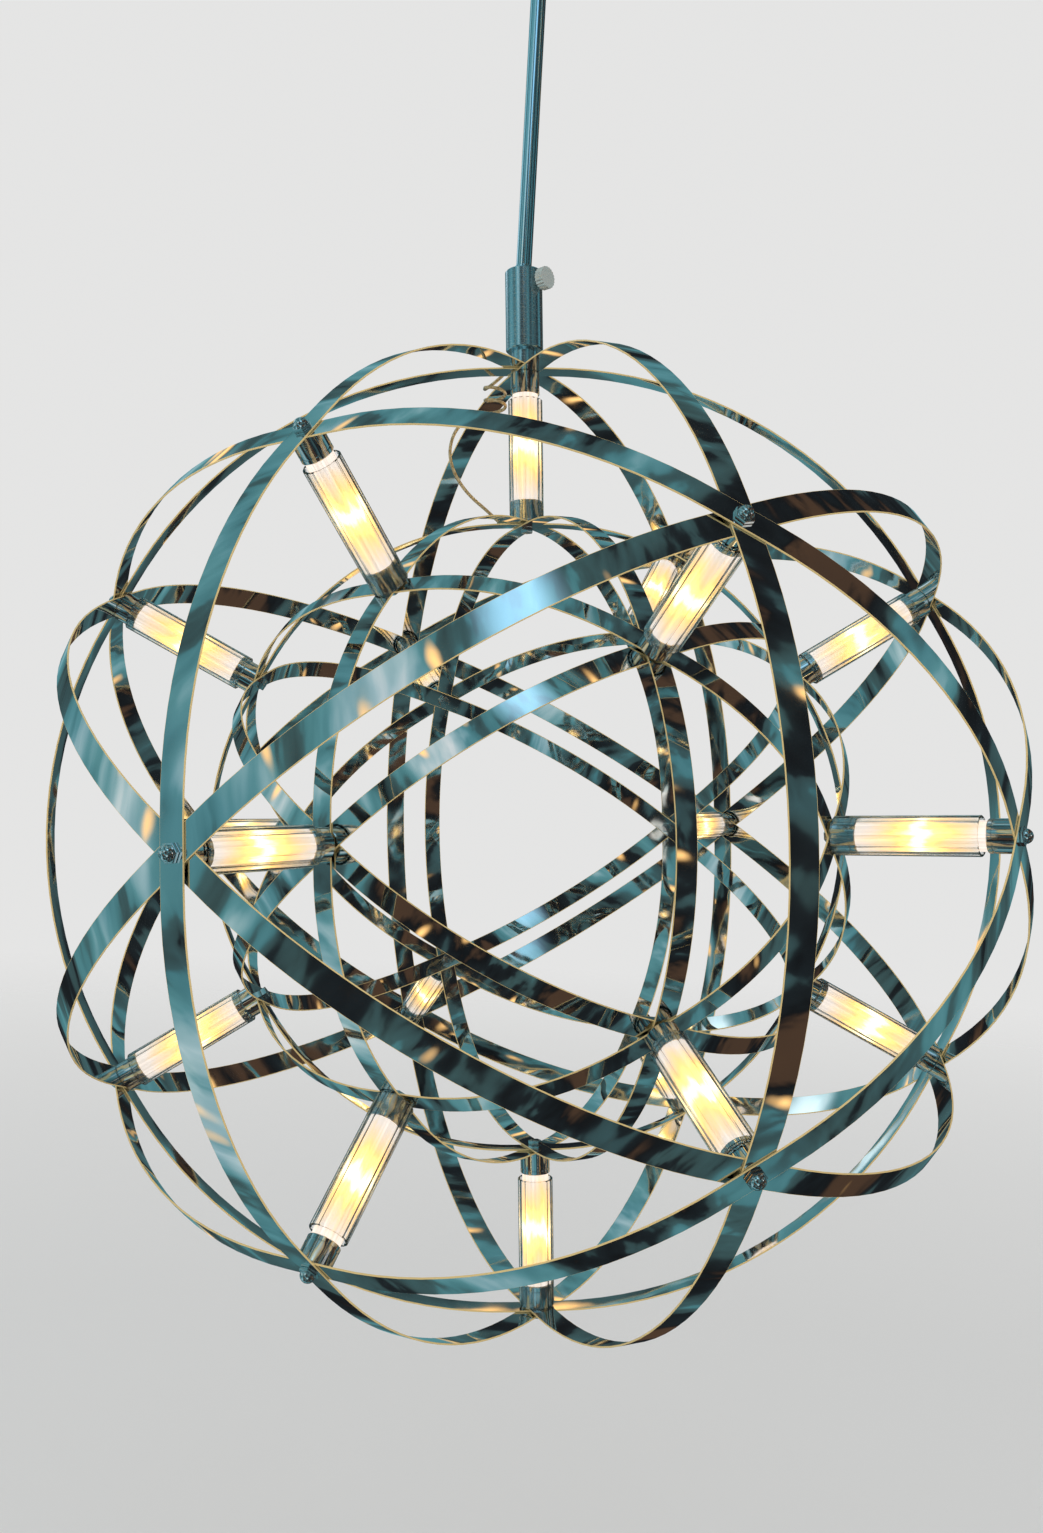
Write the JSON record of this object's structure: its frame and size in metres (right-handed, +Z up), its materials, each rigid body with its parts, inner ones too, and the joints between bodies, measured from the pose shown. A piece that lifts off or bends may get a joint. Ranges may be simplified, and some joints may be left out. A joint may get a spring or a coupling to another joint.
{
  "type": "orb chandelier",
  "caption": "Double-sphere pendant chandelier of bright flat bands, with glass-sleeved lamps standing on the band crossings and a stem with a sliding canopy.",
  "frame": {"origin": "centre of the ceiling plate's top face, on the stem's axis", "axes": "+Z up into the ceiling, +X to the viewer's right and -Y towards the viewer when the thumbscrew is in front on the right"},
  "size_m": [0.6062, 0.5764, 0.9547],
  "materials": {
    "polished_band": "polished",
    "polished_tube": "polished",
    "polished_canopy": "polished",
    "turned_metal": "polished",
    "lamp_cap": "polished",
    "polished_nut": "polished",
    "plated_steel": "satin",
    "rivet_metal": "satin",
    "driver_case": "matte",
    "terminal_plastic": "matte",
    "led_board": "matte",
    "milky_rod": "milky",
    "clear_glass": "clear",
    "lead_jacket": "gloss",
    "tag_metal": "satin"
  },
  "bodies": {
    "stem": {"ceiling_plate": "plated_steel", "stem_bridge": "plated_steel", "bridge_rivets": "rivet_metal", "led_driver": "driver_case", "terminal_block": "terminal_plastic", "stem": "polished_tube", "stem_nuts": "plated_steel", "stem_ferrule": "polished_tube", "stem_lead": "lead_jacket"},
    "canopy": {"canopy": "polished_canopy", "lock_ring": "polished_canopy", "lock_screw": "plated_steel"},
    "sphere": {"collar": "turned_metal", "drop_lead": "lead_jacket", "feed_lead": "lead_jacket", "feed_lead_coil": "lead_jacket", "glass_sleeves": "clear_glass", "inner_hoop_1": "polished_band", "inner_hoop_2": "polished_band", "inner_hoop_3": "polished_band", "inner_hoop_4": "polished_band", "inner_hoop_5": "polished_band", "inner_hoop_6": "polished_band", "inner_hoop_7": "polished_band", "inner_lamp_caps": "lamp_cap", "inner_nuts": "polished_nut", "lead_tag": "tag_metal", "led_boards": "led_board", "light_rods": "milky_rod", "outer_cap_nuts": "polished_nut", "outer_hoop_1": "polished_band", "outer_hoop_2": "polished_band", "outer_hoop_3": "polished_band", "outer_hoop_4": "polished_band", "outer_hoop_5": "polished_band", "outer_hoop_6": "polished_band", "outer_hoop_7": "polished_band", "outer_lamp_caps": "lamp_cap"},
    "thumbscrew": {"thumbscrew": "turned_metal"}
  },
  "joints": [
    {"name": "canopy_slide", "type": "slide", "parent": "stem", "child": "canopy", "axis": [0, 0, -1], "range_m": [0, 0.235]},
    {"name": "sphere_swivel", "type": "hinge", "parent": "stem", "child": "sphere", "pos_m": [0, 0, -0.2865], "axis": [0, 0, 1], "range_deg": [-170, 170]},
    {"name": "thumbscrew_turn", "type": "hinge", "parent": "sphere", "child": "thumbscrew", "pos_m": [0.00056, 0, -0.29498], "axis": [0.7415, -0.6691, 0.0493], "range_deg": [0, 720]}
  ]
}
